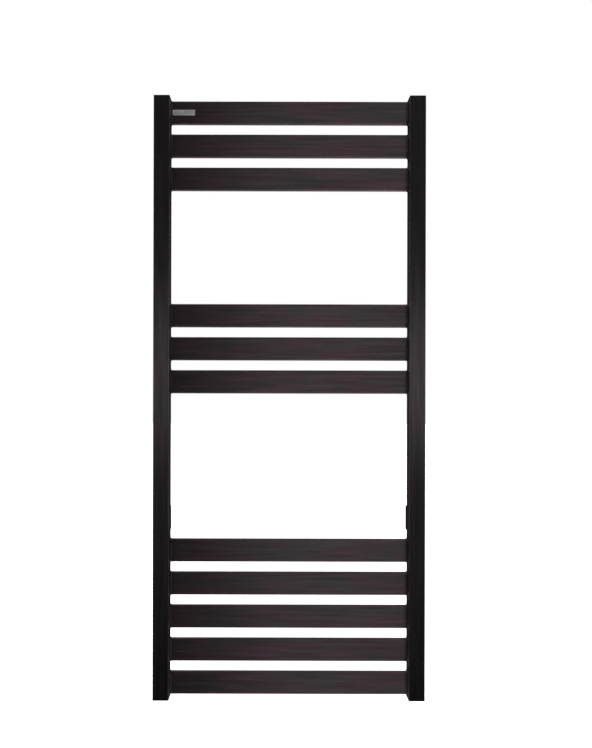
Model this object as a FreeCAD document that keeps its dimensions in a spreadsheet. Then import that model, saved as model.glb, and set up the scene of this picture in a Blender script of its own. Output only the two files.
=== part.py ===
"""A wall-hung ladder towel radiator on four telescopic wall brackets.

Frame: millimetres, +X to the right of someone facing the rack, +Y into the wall, +Z up.
The wall is the plane Y = 0.  The origin is the centre of the wall screw holes.
"""
import FreeCAD
import Part
import math
import os
import Sketcher

doc = FreeCAD.newDocument("TowelRadiator")

# ---------------------------------------------------------------------------------------
# Driving dimensions
# ---------------------------------------------------------------------------------------

DIMENSIONS = [
    # whole rack
    ("rack_width", 540.0),
    ("rack_height", 1200.0),
    ("wall_to_front", 85.0),
    # posts: rectangular tube
    ("post_width", 32.0),
    ("post_depth", 40.0),
    ("post_wall", 1.5),
    ("post_corner", 2.0),
    ("cap_thickness", 2.0),
    # rails: flat tube with round corners, set back from the front of the posts
    ("rail_height", 47.0),
    ("rail_depth", 10.0),
    ("rail_wall", 1.5),
    ("rail_corner", 3.5),
    ("rail_setback", 28.0),
    ("rail_pitch", 66.5),
    ("top_rail_drop", 27.0),
    ("upper_group_step", 274.5),
    ("lower_group_step", 338.5),
    ("upper_group_count", 3),
    ("middle_group_count", 3),
    ("lower_group_count", 5),
    ("water_slot_height", 34.0),
    ("water_slot_width", 6.0),
    ("water_slot_corner", 2.9),
    # valve ports: G1/2 inside thread, drawn as its plain core hole
    ("half_inch_core", 18.63),
    ("port_plate", 3.0),
    ("port_length", 18.0),
    ("socket_outer", 26.0),
    ("port_chamfer", 0.8),
    # air vent and blanking plug, in threaded sockets at the back of the post tops
    ("vent_drop", 30.0),
    ("vent_socket_depth", 10.0),
    ("gasket_outer", 23.0),
    ("gasket_thickness", 1.5),
    ("vent_spigot", 18.5),
    ("vent_spigot_length", 9.0),
    ("vent_flats", 22.0),
    ("vent_flange", 5.0),
    ("vent_neck", 10.0),
    ("vent_lip", 12.0),
    ("vent_neck_length", 4.5),
    ("vent_lip_length", 1.5),
    ("bleed_diameter", 6.0),
    ("bleed_length", 13.0),
    ("bleed_tip", 2.4),
    ("bleed_cone", 2.0),
    ("bleed_groove", 3.0),
    ("bleed_head", 3.5),
    ("bleed_square", 5.0),
    ("bleed_square_corner", 0.4),
    ("bleed_ring_section", 1.0),
    ("spout_outer", 17.0),
    ("spout_width", 4.2),
    ("spout_nozzle", 3.6),
    ("spout_nozzle_bore", 2.0),
    ("spout_reach", 15.0),
    ("plug_flange", 4.0),
    ("plug_dome", 2.0),
    ("plug_key", 8.0),
    ("plug_key_depth", 6.0),
    # wall brackets, measured up from the bottom of the rack
    ("bracket_low", 354.0),
    ("bracket_high", 1052.0),
    ("plate_width", 24.0),
    ("plate_height", 50.0),
    ("plate_thickness", 4.0),
    ("plate_corner", 2.5),
    ("screw_hole", 5.5),
    ("screw_hole_gap", 34.0),
    ("tube_outer", 22.0),
    ("tube_bore", 14.0),
    ("tube_length", 28.0),
    ("stem_diameter", 13.9),
    ("stem_length", 30.0),
    ("stem_chamfer", 1.0),
    ("stud_diameter", 8.0),
    ("stud_length", 9.0),
    ("stud_end_gap", 1.0),
    ("boss_flange", 20.0),
    ("boss_flange_thickness", 3.0),
    ("boss_barrel", 13.0),
    ("boss_hole", 13.2),
    ("boss_depth", 13.0),
    # lock screws: M6 with a hexagon socket, drawn without threads
    ("lock_hole", 6.0),
    ("lock_diameter", 5.9),
    ("lock_length", 6.0),
    ("lock_tip_gap", 0.1),
    ("lock_key", 3.0),
    ("lock_key_depth", 2.5),
    ("lock_chamfer", 0.5),
    ("lock_inset", 6.0),
    # blank name plate on the top rail
    ("badge_width", 45.0),
    ("badge_height", 11.0),
    ("badge_thickness", 0.6),
    ("badge_corner", 1.5),
    ("badge_inset", 3.0),
    # gap between the moving pieces of a running fit, on the radius
    ("running_gap", 0.05),
]

sheet = doc.addObject("Spreadsheet::Sheet", "Size")
for row, (alias, number) in enumerate(DIMENSIONS, start=1):
    sheet.set("A%d" % row, alias)
    sheet.set("B%d" % row, str(number))
    sheet.setAlias("B%d" % row, alias)
doc.recompute()

# Places that several pieces share, written as expressions on the sheet.
RACK_BOTTOM = "(-(Size.bracket_low + Size.bracket_high) / 2)"
RACK_TOP = "(%s + Size.rack_height)" % RACK_BOTTOM
POST_X = "((Size.rack_width - Size.post_width) / 2)"
POST_Y = "(-Size.wall_to_front + Size.post_depth / 2)"
POST_BACK = "(-Size.wall_to_front + Size.post_depth)"
POST_BORE_WIDTH = "(Size.post_width - 2 * Size.post_wall)"
POST_BORE_DEPTH = "(Size.post_depth - 2 * Size.post_wall)"
POST_BORE_CORNER = "(Size.post_corner - Size.post_wall)"
RAIL_FRONT = "(-Size.wall_to_front + Size.rail_setback)"
RAIL_Y = "(%s + Size.rail_depth / 2)" % RAIL_FRONT
RAIL_LENGTH = "(Size.rack_width - 2 * Size.post_width)"
BRACKET_RISE = "((Size.bracket_high - Size.bracket_low) / 2)"
TUBE_MOUTH = "(-Size.plate_thickness - Size.tube_length)"

SIDES = [("left", -1), ("right", 1)]
LEVELS = [("lower", -1), ("upper", 1)]

finished = []


# ---------------------------------------------------------------------------------------
# Helpers
# ---------------------------------------------------------------------------------------

def value(text):
    """The number that an expression on the sheet gives now."""
    return float(sheet.evalExpression(text))


def new_body(name):
    body = doc.addObject("PartDesign::Body", name)
    body.Label = name
    return body


def place(piece, x="0", y="0", z="0", turn=None):
    """Put a finished piece in the rack's frame and keep it for export."""
    if turn is not None:
        piece.Placement.Rotation = turn
    piece.setExpression("Placement.Base.x", x)
    piece.setExpression("Placement.Base.y", y)
    piece.setExpression("Placement.Base.z", z)
    finished.append(piece)


def origin_feature(body, role):
    for feature in body.Origin.OriginFeatures:
        if feature.Role == role:
            return feature
    raise RuntimeError("%s has no %s" % (body.Label, role))


def new_sketch(body, name, role, x="0", y="0", z="0"):
    """A sketch on one of the body's own planes, moved within and off that plane."""
    sketch = body.newObject("Sketcher::SketchObject", name)
    sketch.AttachmentSupport = [(origin_feature(body, role), "")]
    sketch.MapMode = "FlatFace"
    sketch.setExpression("AttachmentOffset.Base.x", x)
    sketch.setExpression("AttachmentOffset.Base.y", y)
    sketch.setExpression("AttachmentOffset.Base.z", z)
    return sketch


def bind(sketch, constraint, text):
    """Add a dimension to the sketch and drive it from the sheet."""
    number = sketch.addConstraint(constraint)
    label = "d%d" % number
    sketch.renameConstraint(number, label)
    sketch.setExpression("Constraints." + label, text)


def add_circle(sketch, diameter, x="0", y="0"):
    centre = FreeCAD.Vector(value(x), value(y), 0)
    circle = Part.Circle(centre, FreeCAD.Vector(0, 0, 1), value(diameter) / 2)
    geo = sketch.addGeometry(circle, False)
    bind(sketch, Sketcher.Constraint("Diameter", geo, value(diameter)), diameter)
    for kind, axis, place_text in [("DistanceX", -2, x), ("DistanceY", -1, y)]:
        if value(place_text) == 0:
            sketch.addConstraint(Sketcher.Constraint("PointOnObject", geo, 3, axis))
        else:
            constraint = Sketcher.Constraint(kind, -1, 1, geo, 3, value(place_text))
            bind(sketch, constraint, place_text)


def add_rounded_rectangle(sketch, width, height, radius):
    """A rectangle round the sketch's origin, with round corners."""
    half_width = value(width) / 2
    half_height = value(height) / 2
    corner = value(radius)
    first = sketch.GeometryCount
    # Corner centres, from the lower right round to the lower left.
    right = half_width - corner
    top = half_height - corner
    centres = [(right, -top), (right, top), (-right, top), (-right, -top)]
    straight = [
        ((-right, -half_height), (right, -half_height)),
        ((half_width, -top), (half_width, top)),
        ((right, half_height), (-right, half_height)),
        ((-half_width, top), (-half_width, -top)),
    ]
    for start, end in straight:
        line = Part.LineSegment(FreeCAD.Vector(*start, 0), FreeCAD.Vector(*end, 0))
        sketch.addGeometry(line, False)
    for index, centre in enumerate(centres):
        begin = (index - 1) * math.pi / 2
        circle = Part.Circle(FreeCAD.Vector(*centre, 0), FreeCAD.Vector(0, 0, 1), corner)
        sketch.addGeometry(Part.ArcOfCircle(circle, begin, begin + math.pi / 2), False)
    for index in range(4):
        line = first + index
        arc = first + 4 + index
        next_line = first + (index + 1) % 4
        sketch.addConstraint(Sketcher.Constraint("Tangent", line, 2, arc, 1))
        sketch.addConstraint(Sketcher.Constraint("Tangent", arc, 2, next_line, 1))
        direction = "Horizontal" if index % 2 == 0 else "Vertical"
        sketch.addConstraint(Sketcher.Constraint(direction, line))
    arc = first + 4
    for index in range(1, 4):
        sketch.addConstraint(Sketcher.Constraint("Equal", arc, arc + index))
    sketch.addConstraint(Sketcher.Constraint("Symmetric", arc, 3, arc + 2, 3, -1, 1))
    bind(sketch, Sketcher.Constraint("Radius", arc, corner), radius)
    across = Sketcher.Constraint("DistanceX", first + 3, 1, first + 1, 1, 2 * half_width)
    bind(sketch, across, width)
    up = Sketcher.Constraint("DistanceY", first, 1, first + 2, 1, 2 * half_height)
    bind(sketch, up, height)


def add_hexagon(sketch, across_flats):
    """A regular hexagon round the sketch's origin, with two upright sides."""
    around = "(2 * %s / sqrt(3))" % across_flats
    radius = value(around) / 2
    first = sketch.GeometryCount
    corners = []
    for index in range(6):
        angle = math.radians(30 + 60 * index)
        corners.append(FreeCAD.Vector(radius * math.cos(angle), radius * math.sin(angle), 0))
    for index in range(6):
        line = Part.LineSegment(corners[index], corners[(index + 1) % 6])
        sketch.addGeometry(line, False)
    circle = Part.Circle(FreeCAD.Vector(0, 0, 0), FreeCAD.Vector(0, 0, 1), radius)
    guide = sketch.addGeometry(circle, True)
    sketch.addConstraint(Sketcher.Constraint("Coincident", guide, 3, -1, 1))
    for index in range(6):
        line = first + index
        next_line = first + (index + 1) % 6
        sketch.addConstraint(Sketcher.Constraint("Coincident", line, 2, next_line, 1))
        sketch.addConstraint(Sketcher.Constraint("PointOnObject", line, 1, guide))
    for index in range(1, 6):
        sketch.addConstraint(Sketcher.Constraint("Equal", first, first + index))
    sketch.addConstraint(Sketcher.Constraint("Vertical", first + 2))
    bind(sketch, Sketcher.Constraint("Diameter", guide, 2 * radius), around)


def add_outline(sketch, points):
    """A closed outline through points given as pairs of expressions, none negative."""
    first = sketch.GeometryCount
    corners = [FreeCAD.Vector(value(x), value(y), 0) for x, y in points]
    count = len(corners)
    for index in range(count):
        line = Part.LineSegment(corners[index], corners[(index + 1) % count])
        sketch.addGeometry(line, False)
    for index in range(count):
        next_line = first + (index + 1) % count
        sketch.addConstraint(Sketcher.Constraint("Coincident", first + index, 2, next_line, 1))
    for index, (x, y) in enumerate(points):
        line = first + index
        for kind, axis, text in [("DistanceX", -2, x), ("DistanceY", -1, y)]:
            if value(text) == 0:
                sketch.addConstraint(Sketcher.Constraint("PointOnObject", line, 1, axis))
            else:
                constraint = Sketcher.Constraint(kind, -1, 1, line, 1, value(text))
                bind(sketch, constraint, text)


def pad(body, name, sketch, length, reverse=False):
    feature = body.newObject("PartDesign::Pad", name)
    feature.Profile = sketch
    feature.setExpression("Length", length)
    feature.Reversed = reverse
    doc.recompute()
    return feature


def pocket(body, name, sketch, length, reverse=False):
    """Cut a pocket, and stop if it misses the body."""
    before = body.Shape.Volume
    feature = body.newObject("PartDesign::Pocket", name)
    feature.Profile = sketch
    feature.setExpression("Length", length)
    feature.Reversed = reverse
    doc.recompute()
    if feature.Shape.Volume > before - 1e-3:
        raise RuntimeError("%s of %s cuts nothing" % (name, body.Label))
    return feature


def repeat_up(body, name, feature, step, count):
    """Repeat a feature upwards; step is the distance between two of them."""
    pattern = body.newObject("PartDesign::LinearPattern", name)
    pattern.Originals = [feature]
    pattern.Direction = (origin_feature(body, "Z_Axis"), [""])
    pattern.setExpression("Length", "%s * (%s - 1)" % (step, count))
    pattern.setExpression("Occurrences", count)
    body.Tip = pattern
    doc.recompute()
    return pattern


def turned(name, points):
    """A body turned about its own Z axis from an outline of (radius, height) pairs."""
    body = new_body(name)
    sketch = new_sketch(body, name + "_profile", "XZ_Plane")
    add_outline(sketch, points)
    feature = body.newObject("PartDesign::Revolution", name + "_turned")
    feature.Profile = sketch
    feature.ReferenceAxis = (sketch, ["V_Axis"])
    feature.Angle = 360
    doc.recompute()
    return body


def ring(name, inner_radius, outer_radius, length):
    """A plain ring, washer or bush about its own Z axis."""
    return turned(name, [
        (inner_radius, "0"),
        (outer_radius, "0"),
        (outer_radius, length),
        (inner_radius, length),
    ])


# A turned piece has its axis along Z.  These turns point that axis elsewhere.
TOWARDS_WALL = FreeCAD.Rotation(FreeCAD.Vector(1, 0, 0), -90)
OUTWARDS = {-1: FreeCAD.Rotation(FreeCAD.Vector(0, 1, 0), -90),
            1: FreeCAD.Rotation(FreeCAD.Vector(0, 1, 0), 90)}


# ---------------------------------------------------------------------------------------
# Ladder: posts, rails, end caps and valve ports
# ---------------------------------------------------------------------------------------

# Height of the lowest rail centre of each group above the bottom of the rack.
UPPER_GROUP = "(Size.rack_height - Size.top_rail_drop - Size.rail_pitch * (Size.upper_group_count - 1))"
MIDDLE_GROUP = "(%s - Size.upper_group_step - Size.rail_pitch * (Size.middle_group_count - 1))" % UPPER_GROUP
LOWER_GROUP = "(%s - Size.lower_group_step - Size.rail_pitch * (Size.lower_group_count - 1))" % MIDDLE_GROUP
GROUPS = [
    ("upper", UPPER_GROUP, "Size.upper_group_count"),
    ("middle", MIDDLE_GROUP, "Size.middle_group_count"),
    ("lower", LOWER_GROUP, "Size.lower_group_count"),
]


def make_post(side, sign):
    """Rectangular tube with a water slot behind each rail and holes in its back."""
    name = "post_" + side
    body = new_body(name)
    section = new_sketch(body, name + "_section", "XY_Plane")
    add_rounded_rectangle(section, "Size.post_width", "Size.post_depth", "Size.post_corner")
    add_rounded_rectangle(section, POST_BORE_WIDTH, POST_BORE_DEPTH, POST_BORE_CORNER)
    pad(body, name + "_tube", section, "Size.rack_height")

    through_side = "Size.post_width / 2 + 1"
    rail_offset = "%s - %s" % (RAIL_Y, POST_Y)
    for group, height, count in GROUPS:
        label = "%s_%s_slot" % (name, group)
        sketch = new_sketch(body, label + "_shape", "YZ_Plane", rail_offset, height)
        add_rounded_rectangle(sketch, "Size.water_slot_width", "Size.water_slot_height",
                              "Size.water_slot_corner")
        slot = pocket(body, label, sketch, through_side, reverse=(sign < 0))
        repeat_up(body, label + "s", slot, "Size.rail_pitch", count)

    through_back = "Size.post_depth / 2 + 1"
    sketch = new_sketch(body, name + "_boss_hole_shape", "XZ_Plane", "0", "Size.bracket_low")
    add_circle(sketch, "Size.boss_hole")
    hole = pocket(body, name + "_boss_hole", sketch, through_back)
    repeat_up(body, name + "_boss_holes", hole, "(Size.bracket_high - Size.bracket_low)", "2")

    vent_height = "Size.rack_height - Size.vent_drop"
    sketch = new_sketch(body, name + "_vent_hole_shape", "XZ_Plane", "0", vent_height)
    add_circle(sketch, "Size.socket_outer")
    pocket(body, name + "_vent_hole", sketch, through_back)
    place(body, "%d * %s" % (sign, POST_X), POST_Y, RACK_BOTTOM)


def make_rail(number, height):
    """Flat tube between the posts; height is its centre above the bottom of the rack."""
    name = "rail_%02d" % number
    body = new_body(name)
    section = new_sketch(body, name + "_section", "YZ_Plane", z="-%s / 2" % RAIL_LENGTH)
    add_rounded_rectangle(section, "Size.rail_depth", "Size.rail_height", "Size.rail_corner")
    add_rounded_rectangle(section, "Size.rail_depth - 2 * Size.rail_wall",
                          "Size.rail_height - 2 * Size.rail_wall",
                          "Size.rail_corner - Size.rail_wall")
    pad(body, name + "_tube", section, RAIL_LENGTH)
    place(body, "0", RAIL_Y, "%s + %s" % (RACK_BOTTOM, height))


def make_rails():
    """All the rails, numbered from the top of the rack down."""
    number = 0
    for group, lowest, count_cell in GROUPS:
        count = int(value(count_cell))
        for step in reversed(range(count)):
            number += 1
            make_rail(number, "%s + %d * Size.rail_pitch" % (lowest, step))


def make_top_cap(side, sign):
    """Plate that closes the top of a post, level with the end of the tube."""
    name = "top_cap_" + side
    body = new_body(name)
    section = new_sketch(body, name + "_section", "XY_Plane")
    add_rounded_rectangle(section, POST_BORE_WIDTH, POST_BORE_DEPTH, POST_BORE_CORNER)
    pad(body, name + "_plate", section, "Size.cap_thickness")
    place(body, "%d * %s" % (sign, POST_X), POST_Y, "%s - Size.cap_thickness" % RACK_TOP)


def make_valve_port(side, sign):
    """Plate and threaded socket that close the bottom of a post."""
    name = "valve_port_" + side
    body = new_body(name)
    section = new_sketch(body, name + "_section", "XY_Plane")
    add_rounded_rectangle(section, POST_BORE_WIDTH, POST_BORE_DEPTH, POST_BORE_CORNER)
    pad(body, name + "_plate", section, "Size.port_plate")
    sketch = new_sketch(body, name + "_socket_shape", "XY_Plane")
    add_circle(sketch, "Size.socket_outer")
    pad(body, name + "_socket", sketch, "Size.port_length")
    sketch = new_sketch(body, name + "_bore_shape", "XY_Plane")
    add_circle(sketch, "Size.half_inch_core")
    bore = pocket(body, name + "_bore", sketch, "Size.port_length + 1", reverse=True)

    core_radius = value("Size.half_inch_core / 2")
    mouth = None
    for index, edge in enumerate(bore.Shape.Edges, start=1):
        is_circle = isinstance(edge.Curve, Part.Circle)
        if is_circle and abs(edge.Curve.Radius - core_radius) < 1e-4 and abs(edge.Curve.Center.z) < 1e-6:
            mouth = "Edge%d" % index
    chamfer = body.newObject("PartDesign::Chamfer", name + "_lead_in")
    chamfer.Base = (bore, [mouth])
    chamfer.setExpression("Size", "Size.port_chamfer")
    doc.recompute()
    place(body, "%d * %s" % (sign, POST_X), POST_Y, RACK_BOTTOM)


# ---------------------------------------------------------------------------------------
# Air vent on the right post, blanking plug on the left one
# ---------------------------------------------------------------------------------------

VENT_Z = "%s - Size.vent_drop" % RACK_TOP
VENT_CORE = "Size.half_inch_core / 2"
SPIGOT_RADIUS = "Size.vent_spigot / 2"
BLEED_RADIUS = "Size.bleed_diameter / 2"
FLANGE_TOP = "(Size.vent_spigot_length + Size.vent_flange)"
NECK_TOP = "(%s + Size.vent_neck_length)" % FLANGE_TOP
LIP_TOP = "(%s + Size.vent_lip_length)" % NECK_TOP


def make_end_socket(name, sign):
    """Threaded socket welded into the back of a post, level with its back face."""
    body = ring(name, VENT_CORE, "Size.socket_outer / 2", "Size.vent_socket_depth")
    place(body, "%d * %s" % (sign, POST_X), "%s - Size.vent_socket_depth" % POST_BACK,
          VENT_Z, TOWARDS_WALL)


def make_gasket(name, sign):
    body = ring(name, "Size.vent_spigot / 2 + 0.1", "Size.gasket_outer / 2",
                "Size.gasket_thickness")
    place(body, "%d * %s" % (sign, POST_X), POST_BACK, VENT_Z, TOWARDS_WALL)


def add_hexagon_flange(body, name, thickness):
    """Hexagon between the spigot and whatever stands on it."""
    sketch = new_sketch(body, name + "_hexagon_shape", "XY_Plane", z="Size.vent_spigot_length")
    add_hexagon(sketch, "Size.vent_flats")
    pad(body, name + "_hexagon", sketch, thickness)


def place_in_end_socket(body, sign):
    """Seat the underside of a hexagon flange on its gasket."""
    seat = "%s + Size.gasket_thickness - Size.vent_spigot_length" % POST_BACK
    place(body, "%d * %s" % (sign, POST_X), seat, VENT_Z, TOWARDS_WALL)


def make_vent_body():
    """Vent plug: spigot, hexagon, neck for the spout and a bore for the bleed screw."""
    name = "vent_body"
    bore = "(%s + Size.running_gap)" % BLEED_RADIUS
    body = turned(name, [
        (bore, "0"),
        (SPIGOT_RADIUS, "0"),
        (SPIGOT_RADIUS, FLANGE_TOP),
        ("Size.vent_neck / 2", FLANGE_TOP),
        ("Size.vent_neck / 2", NECK_TOP),
        ("Size.vent_lip / 2", NECK_TOP),
        ("Size.vent_lip / 2", LIP_TOP),
        (bore, LIP_TOP),
    ])
    add_hexagon_flange(body, name, "Size.vent_flange")
    sketch = new_sketch(body, name + "_bore_shape", "XY_Plane")
    add_circle(sketch, "2 * %s" % bore)
    pocket(body, name + "_bore", sketch, "%s + 1" % LIP_TOP, reverse=True)
    place_in_end_socket(body, 1)


def make_vent_spout():
    """Ring that turns on the vent's neck, with a hollow nozzle that points down."""
    name = "vent_spout"
    inner = "Size.vent_neck / 2 + Size.running_gap"
    body = ring(name, inner, "Size.spout_outer / 2", "Size.spout_width")
    middle = "Size.spout_width / 2"
    root = "(Size.spout_outer / 2 - 1)"
    sketch = new_sketch(body, name + "_nozzle_shape", "XZ_Plane", "0", middle, "-%s" % root)
    add_circle(sketch, "Size.spout_nozzle")
    pad(body, name + "_nozzle", sketch, "Size.spout_reach - %s" % root, reverse=True)
    sketch = new_sketch(body, name + "_nozzle_bore_shape", "XZ_Plane", "0", middle)
    add_circle(sketch, "Size.spout_nozzle_bore")
    pocket(body, name + "_nozzle_bore", sketch, "Size.spout_reach + 1")
    side_play = "(Size.vent_neck_length - Size.spout_width) / 2"
    seat = "%s + Size.gasket_thickness + Size.vent_flange + %s" % (POST_BACK, side_play)
    place(body, POST_X, seat, VENT_Z, TOWARDS_WALL)


def make_bleed_screw():
    """Bleed screw: conical tip, sealing groove and a square head for the key."""
    name = "bleed_screw"
    groove = "(Size.bleed_diameter / 2 - Size.bleed_ring_section)"
    groove_start = "Size.bleed_groove"
    groove_end = "(Size.bleed_groove + Size.bleed_ring_section)"
    body = turned(name, [
        ("0", "0"),
        ("Size.bleed_tip / 2", "0"),
        (BLEED_RADIUS, "Size.bleed_cone"),
        (BLEED_RADIUS, groove_start),
        (groove, groove_start),
        (groove, groove_end),
        (BLEED_RADIUS, groove_end),
        (BLEED_RADIUS, "Size.bleed_length"),
        ("0", "Size.bleed_length"),
    ])
    sketch = new_sketch(body, name + "_head_shape", "XY_Plane", z="Size.bleed_length")
    add_rounded_rectangle(sketch, "Size.bleed_square", "Size.bleed_square",
                          "Size.bleed_square_corner")
    pad(body, name + "_head", sketch, "Size.bleed_head")
    head_base = "%s + Size.gasket_thickness - Size.vent_spigot_length + %s" % (POST_BACK, LIP_TOP)
    place(body, POST_X, "%s - Size.bleed_length" % head_base, VENT_Z, TOWARDS_WALL)

    seal = ring("bleed_seal", groove, BLEED_RADIUS, "Size.bleed_ring_section")
    place(seal, POST_X, "%s - Size.bleed_length + %s" % (head_base, groove_start), VENT_Z,
          TOWARDS_WALL)


def make_blanking_plug():
    """Plug with a hexagon, a low dome and a socket for a hexagon key."""
    name = "blanking_plug"
    flange_top = "(Size.vent_spigot_length + Size.plug_flange)"
    dome_top = "(%s + Size.plug_dome)" % flange_top
    body = turned(name, [
        ("0", "0"),
        (SPIGOT_RADIUS, "0"),
        (SPIGOT_RADIUS, flange_top),
        ("Size.vent_flats / 2 - 2 * Size.plug_dome", dome_top),
        ("0", dome_top),
    ])
    add_hexagon_flange(body, name, "Size.plug_flange")
    sketch = new_sketch(body, name + "_key_shape", "XY_Plane", z=dome_top)
    add_hexagon(sketch, "Size.plug_key")
    pocket(body, name + "_key", sketch, "Size.plug_key_depth")
    place_in_end_socket(body, -1)


# ---------------------------------------------------------------------------------------
# Telescopic wall brackets
# ---------------------------------------------------------------------------------------

def make_wall_plate(corner, x, z):
    name = "wall_plate_" + corner
    body = new_body(name)
    sketch = new_sketch(body, name + "_shape", "XZ_Plane")
    add_rounded_rectangle(sketch, "Size.plate_width", "Size.plate_height", "Size.plate_corner")
    for sign in (-1, 1):
        add_circle(sketch, "Size.screw_hole", "0", "%d * Size.screw_hole_gap / 2" % sign)
    pad(body, name + "_plate", sketch, "Size.plate_thickness")
    place(body, x, "0", z)


def make_bracket_tube(corner, side_sign, x, z):
    """Outer tube of the telescope, with a cross hole for the lock screw."""
    name = "bracket_tube_" + corner
    body = new_body(name)
    sketch = new_sketch(body, name + "_section", "XZ_Plane", z="Size.plate_thickness")
    add_circle(sketch, "Size.tube_outer")
    add_circle(sketch, "Size.tube_bore")
    pad(body, name + "_barrel", sketch, "Size.tube_length")
    sketch = new_sketch(body, name + "_lock_hole_shape", "YZ_Plane",
                        "%s + Size.lock_inset" % TUBE_MOUTH)
    add_circle(sketch, "Size.lock_hole")
    pocket(body, name + "_lock_hole", sketch, "Size.tube_outer / 2 + 1", reverse=(side_sign > 0))
    place(body, x, "0", z)


def make_bracket_stem(corner, x, z):
    """Inner rod of the telescope, with the stud that screws into the boss."""
    name = "bracket_stem_" + corner
    shoulder = "Size.stud_length"
    tip = "(Size.stud_length + Size.stem_length)"
    stem_radius = "Size.stem_diameter / 2"
    body = turned(name, [
        ("0", "0"),
        ("Size.stud_diameter / 2", "0"),
        ("Size.stud_diameter / 2", shoulder),
        (stem_radius, shoulder),
        (stem_radius, "%s - Size.stem_chamfer" % tip),
        ("%s - Size.stem_chamfer" % stem_radius, tip),
        ("0", tip),
    ])
    base = "%s + Size.boss_flange_thickness - Size.stud_length" % POST_BACK
    place(body, x, base, z, TOWARDS_WALL)


def make_bracket_boss(corner, x, z):
    """Blind threaded boss welded through the back wall of a post."""
    name = "bracket_boss_" + corner
    barrel_top = "Size.boss_depth"
    flange_top = "(Size.boss_depth + Size.boss_flange_thickness)"
    hole_floor = "(%s - Size.stud_length - Size.stud_end_gap)" % flange_top
    body = turned(name, [
        ("0", "0"),
        ("Size.boss_barrel / 2", "0"),
        ("Size.boss_barrel / 2", barrel_top),
        ("Size.boss_flange / 2", barrel_top),
        ("Size.boss_flange / 2", flange_top),
        ("Size.stud_diameter / 2", flange_top),
        ("Size.stud_diameter / 2", hole_floor),
        ("0", hole_floor),
    ])
    place(body, x, "%s - Size.boss_depth" % POST_BACK, z, TOWARDS_WALL)


def make_lock_screw(corner, side_sign, x, z):
    """Grub screw that bears on the stem, reached from the outer side of the rack."""
    name = "lock_screw_" + corner
    radius = "Size.lock_diameter / 2"
    end = "Size.lock_length"
    body = turned(name, [
        ("0", "0"),
        ("%s - Size.lock_chamfer" % radius, "0"),
        (radius, "Size.lock_chamfer"),
        (radius, "%s - Size.lock_chamfer" % end),
        ("%s - Size.lock_chamfer" % radius, end),
        ("0", end),
    ])
    sketch = new_sketch(body, name + "_key_shape", "XY_Plane", z=end)
    add_hexagon(sketch, "Size.lock_key")
    pocket(body, name + "_key", sketch, "Size.lock_key_depth")
    tip = "(Size.stem_diameter / 2 + Size.lock_tip_gap)"
    place(body, "%s + %d * %s" % (x, side_sign, tip), "%s + Size.lock_inset" % TUBE_MOUTH, z,
          OUTWARDS[side_sign])


def make_brackets():
    for level, level_sign in LEVELS:
        for side, side_sign in SIDES:
            corner = "%s_%s" % (level, side)
            x = "%d * %s" % (side_sign, POST_X)
            z = "%d * %s" % (level_sign, BRACKET_RISE)
            make_wall_plate(corner, x, z)
            make_bracket_tube(corner, side_sign, x, z)
            make_bracket_stem(corner, x, z)
            make_bracket_boss(corner, x, z)
            make_lock_screw(corner, side_sign, x, z)


# ---------------------------------------------------------------------------------------
# Blank name plate
# ---------------------------------------------------------------------------------------

def make_badge():
    """Blank plate on the left end of the top rail's front face."""
    name = "badge_plate"
    body = new_body(name)
    sketch = new_sketch(body, name + "_shape", "XZ_Plane")
    add_rounded_rectangle(sketch, "Size.badge_width", "Size.badge_height", "Size.badge_corner")
    pad(body, name + "_plate", sketch, "Size.badge_thickness")
    left = "(-%s / 2 + Size.badge_inset + Size.badge_width / 2)" % RAIL_LENGTH
    place(body, left, RAIL_FRONT, "%s - Size.top_rail_drop" % RACK_TOP)


# ---------------------------------------------------------------------------------------
# Build, check and write
# ---------------------------------------------------------------------------------------

for side, sign in SIDES:
    make_post(side, sign)
    make_top_cap(side, sign)
    make_valve_port(side, sign)
make_rails()
make_end_socket("vent_socket", 1)
make_end_socket("plug_socket", -1)
make_gasket("vent_gasket", 1)
make_gasket("plug_gasket", -1)
make_vent_body()
make_vent_spout()
make_bleed_screw()
make_blanking_plug()
make_brackets()
make_badge()
doc.recompute()

for item in doc.Objects:
    if "Invalid" in item.State or "Error" in item.State:
        raise RuntimeError("%s failed to build: %s" % (item.Label, item.State))
for piece in finished:
    if piece.Shape.isNull() or not piece.Shape.isValid():
        raise RuntimeError("%s has no valid shape" % piece.Label)

os.makedirs("parts", exist_ok=True)
for piece in finished:
    piece.Shape.exportStep("parts/%s.step" % piece.Label)
    box = piece.Shape.BoundBox
    print("%-28s %9.1f mm3  x %7.1f %7.1f  y %6.1f %6.1f  z %7.1f %7.1f" % (
        piece.Label, piece.Shape.Volume, box.XMin, box.XMax, box.YMin, box.YMax,
        box.ZMin, box.ZMax))
print("%d pieces" % len(finished))
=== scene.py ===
"""A wall-hung ladder towel radiator, brushed and coated brown-black.

Frame: metres, +X to the right of someone facing the rack, +Y into the wall, +Z up.
The wall is the plane Y = 0.  Mesh helpers work in millimetres round a local Z axis, and
a placing matrix turns that axis and brings the points into the frame.
"""
import math

import bmesh
import bpy
from mathutils import Matrix, Vector, noise


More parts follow.
